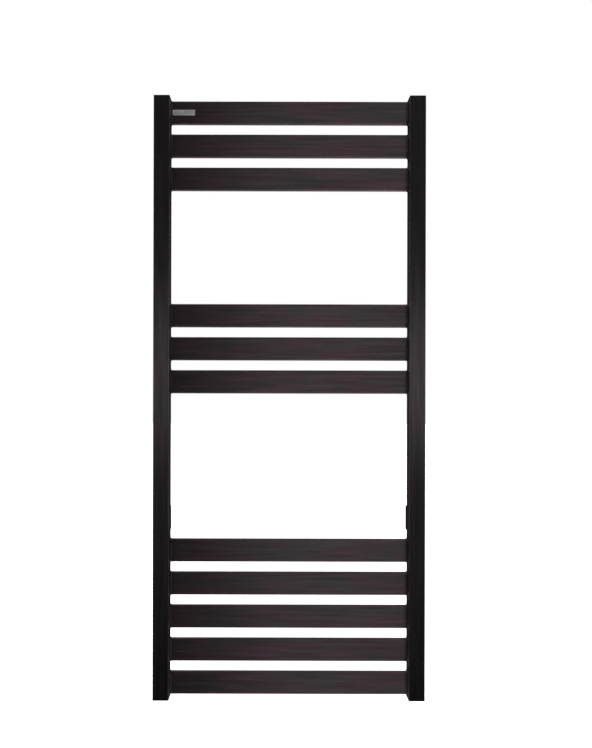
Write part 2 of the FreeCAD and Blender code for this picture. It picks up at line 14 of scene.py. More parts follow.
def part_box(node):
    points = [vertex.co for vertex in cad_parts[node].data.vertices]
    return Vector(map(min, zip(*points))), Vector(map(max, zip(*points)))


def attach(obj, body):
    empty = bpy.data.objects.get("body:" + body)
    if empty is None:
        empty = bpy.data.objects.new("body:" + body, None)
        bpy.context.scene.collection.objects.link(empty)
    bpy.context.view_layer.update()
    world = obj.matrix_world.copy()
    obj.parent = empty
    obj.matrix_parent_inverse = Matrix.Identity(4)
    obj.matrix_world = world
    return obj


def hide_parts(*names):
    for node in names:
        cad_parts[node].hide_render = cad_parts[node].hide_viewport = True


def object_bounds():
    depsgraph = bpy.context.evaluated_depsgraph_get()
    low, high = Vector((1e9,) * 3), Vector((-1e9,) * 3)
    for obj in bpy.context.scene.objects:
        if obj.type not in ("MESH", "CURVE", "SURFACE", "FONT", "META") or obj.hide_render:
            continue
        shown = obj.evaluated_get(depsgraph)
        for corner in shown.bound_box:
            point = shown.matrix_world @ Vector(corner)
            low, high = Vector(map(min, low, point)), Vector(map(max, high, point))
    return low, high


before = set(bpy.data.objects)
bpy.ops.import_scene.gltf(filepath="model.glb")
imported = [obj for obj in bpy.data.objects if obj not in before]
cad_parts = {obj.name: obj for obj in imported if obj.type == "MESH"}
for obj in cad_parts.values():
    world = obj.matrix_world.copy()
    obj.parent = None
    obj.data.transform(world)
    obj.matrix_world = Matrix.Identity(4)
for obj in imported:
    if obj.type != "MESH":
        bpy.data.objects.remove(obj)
CAD_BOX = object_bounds()
scene = bpy.context.scene

MM = 0.001
TURN = 2 * math.pi
SIDES = [("left", -1), ("right", 1)]
CORNERS = ["lower_left", "lower_right", "upper_left", "upper_right"]
END_SOCKETS = {"left": "plug_socket", "right": "vent_socket"}
RAILS = sorted(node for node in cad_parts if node.startswith("rail_"))


# ---------------------------------------------------------------------------------------
# Sizes that the frame's boxes don't give, in millimetres
# ---------------------------------------------------------------------------------------

POST_WALL = 1.5
POST_CORNER = 2.0
RAIL_WALL = 1.5
RAIL_CORNER = 3.5
WELD_LEG = 2.5
WELD_RIPPLE = 2.2
PORT_CORE = 9.315
PORT_THREAD_DEPTH = 1.16
PORT_THREAD_PITCH = 1.814
PORT_CHAMFER = 0.8
SPIGOT_RADIUS = 9.25
SOCKET_RADIUS = 13.0
HEX_FLATS = 22.0
BLEED_BORE = 3.05
NECK_RADIUS = 5.0
BOSS_BARREL = 6.5
BOSS_HOLE = 6.6
STUD_RADIUS = 4.0
SLEEVE_BORE = 7.0
LOCK_HOLE = 3.0
SCREW_HOLE = 2.75
SCREW_HOLE_GAP = 34.0


# ---------------------------------------------------------------------------------------
# Mesh helpers
# ---------------------------------------------------------------------------------------

def size_of(node):
    """Width, depth and height of a CAD node in millimetres."""
    low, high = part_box(node)
    return (high - low) / MM


def centre_of(node):
    low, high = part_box(node)
    return (low + high) / 2


def placing(origin, x_axis, y_axis):
    """Matrix that takes local millimetres to the frame; Z is X cross Y."""
    x_axis = Vector(x_axis)
    y_axis = Vector(y_axis)
    turn = Matrix((x_axis, y_axis, x_axis.cross(y_axis))).transposed()
    return Matrix.Translation(origin) @ turn.to_4x4() @ Matrix.Scale(MM, 4)


def upright_from(node):
    """Local Z points up, from the middle of the node's underside."""
    centre = centre_of(node)
    return placing((centre.x, centre.y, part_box(node)[0].z), (1, 0, 0), (0, 1, 0))


def towards_wall(origin):
    """Local Z points into the wall and local Y points down."""
    return placing(origin, (1, 0, 0), (0, 0, -1))


def towards_wall_from(node):
    """Local Z points into the wall, from the middle of the node's front."""
    centre = centre_of(node)
    return towards_wall((centre.x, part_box(node)[0].y, centre.z))


def away_from_wall(origin):
    """Local Z points out of the wall and local Y points up."""
    return placing(origin, (1, 0, 0), (0, 0, 1))


def sideways(origin, sign=1):
    """Local Z points along X."""
    return placing(origin, (0, sign, 0), (0, 0, 1))


def soften(points, reach, closed=False, steps=3):
    """The same outline of pairs with its corners rounded off, by at most reach."""
    result = []
    count = len(points)
    for index, point in enumerate(points):
        if not closed and index in (0, count - 1):
            result.append(tuple(point))
            continue
        here = Vector(point)
        back = Vector(points[index - 1]) - here
        ahead = Vector(points[(index + 1) % count]) - here
        cut = min(reach, 0.45 * back.length, 0.45 * ahead.length)
        start = here + back.normalized() * cut
        end = here + ahead.normalized() * cut
        for step in range(steps + 1):
            t = step / steps
            result.append(tuple(start * (1 - t) ** 2 + here * 2 * t * (1 - t) + end * t * t))
    return result


def rounded_rectangle(width, height, corner, steps=6, stretch=None):
    """Outline round the local origin; stretch is the longest piece of a straight side."""
    right = width / 2 - corner
    top = height / 2 - corner
    points = []
    for quarter, (x, y) in enumerate([(right, top), (-right, top), (-right, -top), (right, -top)]):
        for step in range(steps + 1):
            angle = (quarter + step / steps) * TURN / 4
            points.append(Vector((x + corner * math.cos(angle), y + corner * math.sin(angle))))
    if stretch is None:
        return points
    fine = []
    for index, point in enumerate(points):
        after = points[(index + 1) % len(points)]
        pieces = max(1, math.ceil((after - point).length / stretch))
        fine.extend(point.lerp(after, piece / pieces) for piece in range(pieces))
    return fine


def box_rings(width, height, corner, profile, stretch=None):
    """Rings of a rounded box section; the profile is pairs of inset and place on Z."""
    rings = []
    for inset, along in profile:
        outline = rounded_rectangle(width - 2 * inset, height - 2 * inset,
                                    max(corner - inset, 0.3), stretch=stretch)
        rings.append([Vector((point.x, point.y, along)) for point in outline])
    return rings


def even_angles(count=72):
    return [TURN * index / count for index in range(count)]


def ring(radius, height, angles):
    """One ring of a turned shape; radius and height may be functions of the angle."""
    points = []
    for angle in angles:
        out = radius(angle) if callable(radius) else radius
        up = height(angle) if callable(height) else height
        points.append(Vector((out * math.cos(angle), out * math.sin(angle), up)))
    return points


def turned_rings(profile, angles):
    return [ring(radius, height, angles) for radius, height in profile]


def flats(across, sides, angle):
    """Radius of a regular polygon at an angle; a flat faces local X."""
    half = math.pi / sides
    return across / 2 / math.cos((angle + half) % (2 * half) - half)


def thread_radius(core, depth, pitch, height, fade=1.0):
    """Radius of a rounded screw thread at one height, as a function of the angle."""
    def radius(angle):
        phase = height / pitch - angle / TURN
        return core + fade * depth * (0.5 + 0.5 * math.cos(TURN * phase))
    return radius


def threaded_rings(core, depth, pitch, start, end, angles, steps=10):
    """Rings of a thread from start to end, which runs out at both ends."""
    length = end - start
    count = max(2, round(abs(length) / pitch * steps))
    rings = []
    for index in range(count + 1):
        height = start + length * index / count
        from_end = min(abs(height - start), abs(end - height)) / (0.7 * pitch)
        rings.append(ring(thread_radius(core, depth, pitch, height, min(1.0, from_end)),
                          height, angles))
    return rings


def loft(rings, wrap=False):
    """Points and faces through rings of equal length, capped unless the last meets the first."""
    count = len(rings[0])
    points = [point for one in rings for point in one]
    faces = []
    spans = len(rings) if wrap else len(rings) - 1
    for row in range(spans):
        here = row * count
        there = (row + 1) % len(rings) * count
        for index in range(count):
            after = (index + 1) % count
            faces.append((here + index, here + after, there + after, there + index))
    if not wrap:
        faces.append(tuple(reversed(range(count))))
        faces.append(tuple(range(len(points) - count, len(points))))
    return points, faces


def joined(*shapes):
    """Several shapes of points and faces as one."""
    points = []
    faces = []
    for more_points, more_faces in shapes:
        start = len(points)
        points.extend(more_points)
        faces.extend(tuple(start + index for index in face) for face in more_faces)
    return points, faces


def placed(shape, place):
    points, faces = shape
    return [place @ point for point in points], faces


def mesh_object(name, shape):
    points, faces = shape
    mesh = bpy.data.meshes.new(name)
    mesh.from_pydata([tuple(point) for point in points], [], faces)
    shaped = bmesh.new()
    shaped.from_mesh(mesh)
    bmesh.ops.recalc_face_normals(shaped, faces=shaped.faces)
    shaped.to_mesh(mesh)
    shaped.free()
    piece = bpy.data.objects.new(name, mesh)
    scene.collection.objects.link(piece)
    return piece


def combine(piece, tool_shape, operation):
    """Cut a shape out of a piece, or add it, and keep the result as the piece's own mesh."""
    tool = mesh_object(piece.name + "_tool", tool_shape)
    modifier = piece.modifiers.new("combine", "BOOLEAN")
    modifier.operation = operation
    modifier.solver = "EXACT"
    modifier.object = tool
    bpy.context.view_layer.update()
    evaluated = piece.evaluated_get(bpy.context.evaluated_depsgraph_get())
    mesh = bpy.data.meshes.new_from_object(evaluated)
    piece.modifiers.clear()
    old = piece.data
    piece.data = mesh
    mesh.name = piece.name
    bpy.data.meshes.remove(old)
    old = tool.data
    bpy.data.objects.remove(tool)
    bpy.data.meshes.remove(old)


def finish_piece(piece, body, material, nodes=(), sharp=32):
    """Shade a piece, give it its material and join it to its body."""
    mesh = piece.data
    mesh.shade_smooth()
    mesh.set_sharp_from_angle(angle=math.radians(sharp))
    shading = piece.modifiers.new("even_shading", "WEIGHTED_NORMAL")
    shading.keep_sharp = True
    mesh.materials.clear()
    mesh.materials.append(material)
    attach(piece, body)
    if nodes:
        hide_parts(*nodes)
    return piece


# ---------------------------------------------------------------------------------------
# Material helpers
# ---------------------------------------------------------------------------------------

class Nodes:
    """A node tree under construction, with short ways to add the nodes used here."""

    def __init__(self, tree):
        self.tree = tree
        tree.nodes.clear()

    def add(self, kind, **settings):
        node = self.tree.nodes.new(kind)
        for key, setting in settings.items():
            setattr(node, key, setting)
        return node

    def feed(self, socket, source):
        """Link a socket, or set a plain number or colour on it."""
        if isinstance(source, bpy.types.NodeSocket):
            self.tree.links.new(source, socket)
        else:
            socket.default_value = source

    def math(self, operation, *values):
        node = self.add("ShaderNodeMath", operation=operation)
        for socket, source in zip(node.inputs, values):
            self.feed(socket, source)
        return node.outputs[0]

    def span(self, source, low, high, out_low=0.0, out_high=1.0, smooth=False):
        """Map low..high to out_low..out_high, held at the ends."""
        node = self.add("ShaderNodeMapRange")
        node.interpolation_type = "SMOOTHSTEP" if smooth else "LINEAR"
        for name, setting in [("Value", source), ("From Min", low), ("From Max", high),
                              ("To Min", out_low), ("To Max", out_high)]:
            self.feed(node.inputs[name], setting)
        return node.outputs["Result"]

    def stretched(self, scale):
        """Object coordinates multiplied by a scale, in turns per metre."""
        where = self.add("ShaderNodeTexCoord")
        mapping = self.add("ShaderNodeMapping")
        self.feed(mapping.inputs["Vector"], where.outputs["Object"])
        mapping.inputs["Scale"].default_value = scale
        return mapping.outputs["Vector"]

    def noise(self, scale, detail=3.0, roughness=0.55, distortion=0.0):
        """Noise about 0.5; scale is one number or three, in turns per metre."""
        if not hasattr(scale, "__len__"):
            scale = (scale, scale, scale)
        node = self.add("ShaderNodeTexNoise")
        self.feed(node.inputs["Vector"], self.stretched(scale))
        node.inputs["Scale"].default_value = 1.0
        node.inputs["Detail"].default_value = detail
        node.inputs["Roughness"].default_value = roughness
        node.inputs["Distortion"].default_value = distortion
        return node.outputs["Fac"]

    def blend(self, *parts):
        """0.5 plus each (noise, amount) about its own middle."""
        total = 0.5
        for source, amount in parts:
            about = self.math("SUBTRACT", source, 0.5)
            total = self.math("MULTIPLY_ADD", about, amount, total)
        return total

    def ramp(self, source, *stops):
        node = self.add("ShaderNodeValToRGB")
        ramp = node.color_ramp
        for index, (place, colour) in enumerate(stops):
            stop = ramp.elements[index] if index < 2 else ramp.elements.new(place)
            stop.position = place
            stop.color = (*colour, 1.0)
        self.feed(node.inputs["Fac"], source)
        return node.outputs["Color"]

    def mixed(self, share, first, second):
        """The first colour where the share is 0 and the second where it is 1."""
        node = self.add("ShaderNodeMix", data_type="RGBA")
        self.feed(node.inputs[0], share)
        self.feed(node.inputs[6], first)
        self.feed(node.inputs[7], second)
        return node.outputs[2]

    def edges(self):
        """1 on rounded edges and 0 on the flats, for pieces whose flats face the axes."""
        where = self.add("ShaderNodeTexCoord")
        facing = self.add("ShaderNodeVectorMath", operation="ABSOLUTE")
        self.feed(facing.inputs[0], where.outputs["Normal"])
        split = self.add("ShaderNodeSeparateXYZ")
        self.feed(split.inputs[0], facing.outputs[0])
        x, y, z = split.outputs
        largest = self.math("MAXIMUM", self.math("MAXIMUM", x, y), z)
        return self.span(largest, 0.99, 0.85, smooth=True)

    def bump(self, source, distance, strength=1.0):
        node = self.add("ShaderNodeBump")
        self.feed(node.inputs["Height"], source)
        node.inputs["Strength"].default_value = strength
        node.inputs["Distance"].default_value = distance
        return node.outputs["Normal"]

    def surface(self, **inputs):
        """The Principled shader and the output."""
        shader = self.add("ShaderNodeBsdfPrincipled")
        for name, source in inputs.items():
            self.feed(shader.inputs[name.replace("_", " ")], source)
        output = self.add("ShaderNodeOutputMaterial")
        self.feed(output.inputs["Surface"], shader.outputs[0])
        return shader


def new_material(name):
    material = bpy.data.materials.new(name)
    material.use_nodes = True
    return material, Nodes(material.node_tree)


def shaded(colour, factor):
    return tuple(channel * factor for channel in colour)


def across(axis, along, over):
    """Scale that is small along one axis and large over the other two."""
    return tuple(along if index == axis else over for index in range(3))


# ---------------------------------------------------------------------------------------
# Materials
# ---------------------------------------------------------------------------------------

COAT_PURPLE = (0.096, 0.064, 0.077)
COAT_NEUTRAL = (0.076, 0.070, 0.071)
# Lighter colour mixed in on the rounded edges: a painted edge highlight, partly thinner coating.
EDGE_WEAR_AND_HIGHLIGHT_COLOUR = (0.21, 0.18, 0.19, 1.0)
EDGE_WEAR_AND_HIGHLIGHT_SHARE = 0.25
DARKEST = 0.66
LIGHTEST = 1.34


def brushed_coat(name, axis, purple_share):
    """Brown-black coating on steel brushed along one axis; the sheen spreads across it.

    The tone changes in long streaks, the hue drifts from neutral towards purple in patches,
    and the rounded edges are painted a little lighter: a painted edge highlight, partly a thinner coating
    there.
    """
    material, nodes = new_material(name)
    patches = nodes.noise(across(axis, 12.0, 60.0), detail=3.0)
    broad = nodes.noise(across(axis, 3.0, 22.0), detail=2.0)
    streaks = nodes.noise(across(axis, 7.0, 230.0), detail=4.0, roughness=0.65)
    hairs = nodes.noise(across(axis, 30.0, 3600.0), detail=2.0, roughness=0.7)
    tone = nodes.blend((broad, 0.4), (streaks, 2.3), (hairs, 1.2))
    purple = nodes.ramp(tone, (0.0, shaded(COAT_PURPLE, DARKEST)),
                        (1.0, shaded(COAT_PURPLE, LIGHTEST)))
    neutral = nodes.ramp(tone, (0.0, shaded(COAT_NEUTRAL, DARKEST)),
                         (1.0, shaded(COAT_NEUTRAL, LIGHTEST)))
    drift = nodes.span(patches, 0.35, 0.65, 0.0, purple_share, smooth=True)
    colour = nodes.mixed(drift, neutral, purple)
    # Painted highlight on the rounded edges, partly thinner coating: the colour is mixed towards a
    # lighter one there.
    worn_and_highlit = nodes.math("MULTIPLY", nodes.edges(), nodes.span(hairs, 0.3, 0.7, 0.5, 1.0))
    colour = nodes.mixed(nodes.math("MULTIPLY", worn_and_highlit, EDGE_WEAR_AND_HIGHLIGHT_SHARE), colour, EDGE_WEAR_AND_HIGHLIGHT_COLOUR)
    grain = nodes.blend((streaks, 0.6), (hairs, 1.0))
    roughness = nodes.span(grain, 0.2, 0.8, 0.23, 0.275)
    normal = nodes.bump(grain, 0.01 * MM, 0.3)
    tangent = nodes.add("ShaderNodeTangent", direction_type="RADIAL", axis="XYZ"[axis])
    nodes.surface(Base_Color=colour, Metallic=1.0, Roughness=roughness, Normal=normal,
                  Anisotropic=1.0, Tangent=tangent.outputs[0])
    return material


def plain_coat(name, colour, roughness_range, grain_scale, depth, specular=0.5):
    """Coating with a fine orange peel and no brush marks."""
    material, nodes = new_material(name)
    broad = nodes.noise(35.0, detail=2.0)
    peel = nodes.noise(grain_scale, detail=2.0, roughness=0.5)
    tone = nodes.blend((broad, 0.7), (peel, 0.5))
    tint = nodes.ramp(tone, (0.1, shaded(colour, 0.75)), (0.9, shaded(colour, 1.25)))
    roughness = nodes.span(tone, 0.2, 0.8, *roughness_range)
    normal = nodes.bump(peel, depth * MM, 0.6)
    nodes.surface(Base_Color=tint, Metallic=0.0, Roughness=roughness, Normal=normal,
                  Specular_IOR_Level=specular)
    return material


def turned_metal(name, colour, roughness_range, axis=1, marks=5200.0, anisotropy=0.6, depth=0.006):
    """Machined metal; the tool marks run round the axis of the piece."""
    material, nodes = new_material(name)
    broad = nodes.noise(60.0, detail=3.0)
    lines = nodes.noise(across(axis, marks, 90.0), detail=2.0, roughness=0.6)
    tone = nodes.blend((broad, 0.8), (lines, 0.7))
    tint = nodes.ramp(tone, (0.1, shaded(colour, 0.7)), (0.9, shaded(colour, 1.25)))
    roughness = nodes.span(tone, 0.2, 0.8, *roughness_range)
    normal = nodes.bump(lines, depth * MM, 0.5)
    tangent = nodes.add("ShaderNodeTangent", direction_type="RADIAL", axis="XYZ"[axis])
    nodes.surface(Base_Color=tint, Metallic=1.0, Roughness=roughness, Normal=normal,
                  Anisotropic=anisotropy, Anisotropic_Rotation=0.25,
                  Tangent=tangent.outputs[0])
    return material


def moulded(name, colour, roughness_range, grain_scale, depth):
    """Plastic or rubber from a lightly textured mould."""
    material, nodes = new_material(name)
    broad = nodes.noise(120.0, detail=2.0)
    grain = nodes.noise(grain_scale, detail=3.0, roughness=0.6)
    tone = nodes.blend((broad, 0.6), (grain, 0.6))
    tint = nodes.ramp(tone, (0.1, shaded(colour, 0.8)), (0.9, shaded(colour, 1.2)))
    roughness = nodes.span(tone, 0.2, 0.8, *roughness_range)
    normal = nodes.bump(grain, depth * MM, 0.5)
    nodes.surface(Base_Color=tint, Metallic=0.0, Roughness=roughness, Normal=normal)
    return material


rail_coat = brushed_coat("coat_brushed_across", axis=0, purple_share=1.0)
post_coat = brushed_coat("coat_brushed_up", axis=2, purple_share=0.35)
weld_coat = plain_coat("coat_on_weld", (0.022, 0.018, 0.019), roughness_range=(0.36, 0.5),
                       grain_scale=900.0, depth=0.03)
powder = plain_coat("black_powder_coat", (0.012, 0.011, 0.0115), roughness_range=(0.42, 0.58),
                    grain_scale=2600.0, depth=0.04, specular=0.22)
stem_metal = turned_metal("blackened_turned_steel", (0.16, 0.152, 0.15), roughness_range=(0.26, 0.4))
port_metal = turned_metal("machined_steel", (0.42, 0.4, 0.38), roughness_range=(0.26, 0.42), axis=2)
plated = turned_metal("black_nickel", (0.2, 0.19, 0.188), roughness_range=(0.14, 0.26), anisotropy=0.3)
brass = turned_metal("turned_brass", (0.66, 0.47, 0.2), roughness_range=(0.2, 0.34))
oxide = turned_metal("black_oxide_steel", (0.075, 0.075, 0.078), roughness_range=(0.34, 0.5), axis=0)
spout_plastic = moulded("moulded_black_plastic", (0.028, 0.028, 0.03), roughness_range=(0.34, 0.48),
                        grain_scale=3000.0, depth=0.02)
rubber = moulded("black_rubber", (0.016, 0.016, 0.016), roughness_range=(0.62, 0.8),
                 grain_scale=4000.0, depth=0.02)
badge_metal = turned_metal("satin_aluminium", (0.68, 0.66, 0.67), roughness_range=(0.32, 0.42),
                           axis=1, anisotropy=0.4)


# ---------------------------------------------------------------------------------------
# Ladder
# ---------------------------------------------------------------------------------------

def make_post(side):
    """Rectangular tube with holes in its back for the two bosses and the end socket."""
    node = "post_" + side
    width, depth, height = size_of(node)
    profile = soften([(0, 0), (0, height), (POST_WALL, height), (POST_WALL, 0)], 0.35, closed=True)
    tube = loft(box_rings(width, depth, POST_CORNER, profile), wrap=True)
    piece = mesh_object("post_tube_" + side, placed(tube, upright_from(node)))
    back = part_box(node)[1].y
    reach = 4.0
    drills = []
    for fitting, radius in [("bracket_boss_lower_" + side, BOSS_HOLE),
                            ("bracket_boss_upper_" + side, BOSS_HOLE),
                            (END_SOCKETS[side], SOCKET_RADIUS)]:
        middle = centre_of(fitting)
        drill = loft(turned_rings([(radius, -reach), (radius, reach)], even_angles(64)))
        drills.append(placed(drill, towards_wall((middle.x, back, middle.z))))
    combine(piece, joined(*drills), "DIFFERENCE")
    finish_piece(piece, "rack", post_coat, [node])


def make_top_cap(side):
    """Plate that closes the tube, with a fine seam round it."""
    node = "top_cap_" + side
    width, depth, height = size_of(node)
    profile = soften([(0.3, 0), (0, 0), (0, height), (1.0, height)], 0.3)
    shape = loft(box_rings(width, depth, 0.6, profile))
    piece = mesh_object("end_plate_" + side, placed(shape, upright_from(node)))
    finish_piece(piece, "rack", post_coat, [node])


def make_valve_port(side):
    """Plate and half inch socket with its inside thread, open at the bottom."""
    node = "valve_port_" + side
    width, depth, length = size_of(node)
    plate, bevel, inner_chamfer = 3.0, 0.25, 0.6
    nearly_zero = 1e-6
    corner = math.atan2(depth, width)
    corners = [corner, math.pi - corner, math.pi + corner, TURN - corner]
    angles = sorted(even_angles(96) + corners)

    def edge(angle):
        return min(width / 2 / max(abs(math.cos(angle)), nearly_zero),
                   depth / 2 / max(abs(math.sin(angle)), nearly_zero))

    def edge_in(angle):
        return edge(angle) - bevel

    rings = [ring(edge_in, 0, angles), ring(edge, bevel, angles), ring(edge, plate, angles)]
    rings += turned_rings(soften([(SOCKET_RADIUS, plate), (SOCKET_RADIUS, length),
                                  (PORT_CORE + inner_chamfer, length),
                                  (PORT_CORE, length - inner_chamfer)], 0.5), angles)
    rings += threaded_rings(PORT_CORE, PORT_THREAD_DEPTH, PORT_THREAD_PITCH, length - 0.8,
                            PORT_CHAMFER + 0.1, angles)
    rings += turned_rings([(PORT_CORE, PORT_CHAMFER), (PORT_CORE + PORT_CHAMFER, 0)], angles)
    shape = loft(rings, wrap=True)
    piece = mesh_object("port_socket_" + side, placed(shape, upright_from(node)))
    finish_piece(piece, "rack", port_metal, [node], sharp=40)


def make_rail(node):
    """Flat tube from post to post."""
    length, depth, height = size_of(node)
    half = length / 2
    profile = soften([(0, -half), (0, half), (RAIL_WALL, half), (RAIL_WALL, -half)], 0.2, closed=True)
    shape = loft(box_rings(depth, height, RAIL_CORNER, profile), wrap=True)
    piece = mesh_object("flat_" + node, placed(shape, sideways(centre_of(node))))
    finish_piece(piece, "rack", rail_coat, [node])


def weld_bead(width, height, corner, seed):
    """Fillet weld round the end of a box section that meets a wall at local Z = 0."""
    profile = [(0.0, 0.0), (0.0, WELD_LEG), (-0.3 * WELD_LEG, 0.52 * WELD_LEG),
               (-0.52 * WELD_LEG, 0.3 * WELD_LEG), (-WELD_LEG, 0.0)]
    rings = box_rings(width, height, corner, profile, stretch=WELD_RIPPLE / 4)
    round_it = box_rings(width, height, corner, [(0.0, 0.0)], stretch=WELD_RIPPLE / 4)[0]
    root = rings[0]
    travelled = 0.0
    ripple_share, uneven_share = 0.05, 0.07
    for index in range(len(round_it)):
        if index:
            travelled += (root[index] - root[index - 1]).length
        swell = ripple_share * math.sin(TURN * travelled / WELD_RIPPLE)
        swell += uneven_share * noise.noise(Vector((travelled / 5, seed, 0.0)))
        for one in rings[1:]:
            one[index] += (one[index] - root[index]) * swell
    return loft(rings, wrap=True)


def make_rail_welds(side, sign):
    """The weld beads that join every rail to one post, as one piece."""
    beads = []
    for number, node in enumerate(RAILS):
        depth, height = size_of(node).yz
        low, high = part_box(node)
        centre = centre_of(node)
        wall = high.x if sign > 0 else low.x
        place = sideways((wall, centre.y, centre.z), -sign)
        bead = weld_bead(depth, height, RAIL_CORNER, number + 20 * sign)
        beads.append(placed(bead, place))
    piece = mesh_object("rail_welds_" + side, joined(*beads))
    finish_piece(piece, "rack", weld_coat, sharp=60)


# ---------------------------------------------------------------------------------------
# Air vent on the right post, blanking plug on the left one
# ---------------------------------------------------------------------------------------

def make_end_socket(node, side):
    """Ring let into the back of the post, with the ground weld seam round it."""
    depth = size_of(node).y
    angles = even_angles(96)
    body = loft(turned_rings(soften([(PORT_CORE, 0), (SOCKET_RADIUS, 0), (SOCKET_RADIUS, depth),
                                     (PORT_CORE, depth)], 0.4, closed=True), angles), wrap=True)
    seam = loft(turned_rings([(SOCKET_RADIUS - 0.9, depth - 0.05), (SOCKET_RADIUS - 0.5, depth + 0.12),
                              (SOCKET_RADIUS + 0.1, depth + 0.2), (SOCKET_RADIUS + 0.7, depth + 0.12),
                              (SOCKET_RADIUS + 1.1, depth - 0.05)], angles), wrap=True)
    piece = mesh_object("end_socket_" + side, placed(joined(body, seam), towards_wall_from(node)))
    finish_piece(piece, "rack", weld_coat, [node])


def make_gasket(node, side):
    """Flat ring between a plug's flange and its socket."""
    thickness = size_of(node).y
    outer = size_of(node).x / 2
    shape = loft(turned_rings(soften([(SPIGOT_RADIUS + 0.1, 0), (outer, 0), (outer, thickness),
                                      (SPIGOT_RADIUS + 0.1, thickness)], 0.4, closed=True),
                              even_angles()), wrap=True)
    piece = mesh_object("seal_ring_" + side, placed(shape, towards_wall_from(node)))
    finish_piece(piece, "rack", rubber, [node])


def hexagon_rings(bottom, top, angles):
    """Sides of a hexagon flange whose top corners are turned off at 30 degrees."""
    turned_off = HEX_FLATS / 2 - 0.3

    def outline(angle):
        return flats(HEX_FLATS, 6, angle)

    def outline_low(angle):
        return min(outline(angle), HEX_FLATS / 2 + 0.9)

    def shoulder(angle):
        return top - (outline(angle) - turned_off) * math.tan(math.radians(30))

    return [ring(outline_low, bottom, angles), ring(outline, bottom + 0.5, angles),
            ring(outline, shoulder, angles), ring(turned_off, top, angles)]


def make_vent_body():
    """Hexagon plug with a neck for the spout and a bore for the bleed screw."""
    node = "vent_body"
    length = size_of(node).y
    angles = even_angles()
    spigot, flange, neck = 9.0, 14.0, 18.5
    foot, collar = 3.0, 1.0
    rings = turned_rings(soften([(BLEED_BORE, 0.0), (SPIGOT_RADIUS, 0.0), (SPIGOT_RADIUS, spigot)], 0.5),
                         angles)
    rings += hexagon_rings(spigot, flange, angles)
    rings += turned_rings(soften([(NECK_RADIUS + foot, flange), (NECK_RADIUS, flange),
                                  (NECK_RADIUS, neck), (NECK_RADIUS + collar, neck),
                                  (NECK_RADIUS + collar, length), (BLEED_BORE, length),
                                  (BLEED_BORE, length - 1.0)], 0.3), angles)
    piece = mesh_object("vent_plug", placed(loft(rings, wrap=True), towards_wall_from(node)))
    finish_piece(piece, "rack", plated, [node])


def make_blanking_plug():
    """Hexagon plug with a low cone and a hexagon socket."""
    node = "blanking_plug"
    length = size_of(node).y
    angles = even_angles()
    spigot, flange, key, key_depth = 9.0, 13.0, 8.0, 6.0
    cone_top, key_seat = 7.0, 5.4

    def key_edge(angle):
        return flats(key, 6, angle)

    def key_rim(angle):
        return flats(key, 6, angle) + 0.25

    rings = turned_rings(soften([(2.0, 0.0), (SPIGOT_RADIUS, 0.0), (SPIGOT_RADIUS, spigot)], 0.5), angles)
    rings += hexagon_rings(spigot, flange, angles)
    cone = [(SPIGOT_RADIUS, flange), (cone_top, length), (key_seat, length)]
    rings += turned_rings(soften(cone, 0.4), angles)
    rings += [ring(key_rim, length, angles), ring(key_edge, length - 0.25, angles),
              ring(key_edge, length - key_depth, angles), ring(0.6, length - key_depth - 0.3, angles)]
    piece = mesh_object("hexagon_plug", placed(loft(rings), towards_wall_from(node)))
    finish_piece(piece, "rack", plated, [node])


def make_vent_spout():
    """Ring that turns on the vent's neck, with its hollow nozzle."""
    node = "vent_spout"
    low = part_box(node)[0]
    width = size_of(node).y
    outer = size_of(node).x / 2
    reach = centre_of("vent_body").z / MM - low.z / MM
    place = towards_wall((centre_of(node).x, low.y, centre_of("vent_body").z))
    rim = soften([(NECK_RADIUS + 0.05, 0), (outer, 0), (outer, width), (NECK_RADIUS + 0.05, width)],
                 0.7, closed=True)
    piece = mesh_object("spout_ring", placed(loft(turned_rings(rim, even_angles(96)), wrap=True), place))
    down = place @ Matrix.Translation((0, 0, width / 2)) @ Matrix.Rotation(-TURN / 4, 4, "X")
    nozzle = soften([(1.95, outer - 1.5), (1.8, outer + 1.0), (1.65, reach), (0.8, reach)], 0.3)
    combine(piece, placed(loft(turned_rings(nozzle, even_angles(40))), down), "UNION")
    bore = [(1.0, 3.0), (1.0, reach + 1.0)]
    combine(piece, placed(loft(turned_rings(bore, even_angles(32))), down), "DIFFERENCE")
    finish_piece(piece, "vent_spout", spout_plastic, [node])


def make_bleed_screw():
    """Bleed screw with its cone, groove and square head."""
    node = "bleed_screw"
    length = size_of(node).y
    angles = even_angles()
    radius, groove, shoulder, square = 3.0, 2.0, 13.0, 5.0

    def head(angle):
        return min(flats(square, 4, angle), square / math.sqrt(2) - 0.17)

    def head_in(angle):
        return head(angle) - 0.3

    rings = turned_rings(soften([(0.3, 0.0), (1.2, 0.0), (radius, 2.0), (radius, 3.0), (groove, 3.0),
                                 (groove, 4.0), (radius, 4.0), (radius, shoulder)], 0.15), angles)
    rings += [ring(lambda angle: min(head(angle), radius), shoulder, angles),
              ring(head, shoulder + 0.02, angles), ring(head, length - 0.3, angles),
              ring(head_in, length, angles), ring(0.4, length, angles)]
    piece = mesh_object("bleed_key_screw", placed(loft(rings), towards_wall_from(node)))
    finish_piece(piece, "bleed_screw", brass, [node])

    node = "bleed_seal"
    shape = loft(turned_rings(soften([(groove, 0), (radius, 0), (radius, 1.0), (groove, 1.0)], 0.45,
                                     closed=True), angles), wrap=True)
    piece = mesh_object("bleed_o_ring", placed(shape, towards_wall_from(node)))
    finish_piece(piece, "bleed_screw", rubber, [node])


# ---------------------------------------------------------------------------------------
# Wall brackets
# ---------------------------------------------------------------------------------------

def fillet_weld(radius, height, leg):
    """Ring of weld between a tube of this radius and the plate under it, at this height."""
    return loft(turned_rings([(radius - 0.1, height - 0.1), (radius + leg, height - 0.1),
                              (radius + 0.55 * leg, height + 0.35 * leg),
                              (radius + 0.3 * leg, height + 0.62 * leg),
                              (radius - 0.1, height + leg)], even_angles(96)), wrap=True)


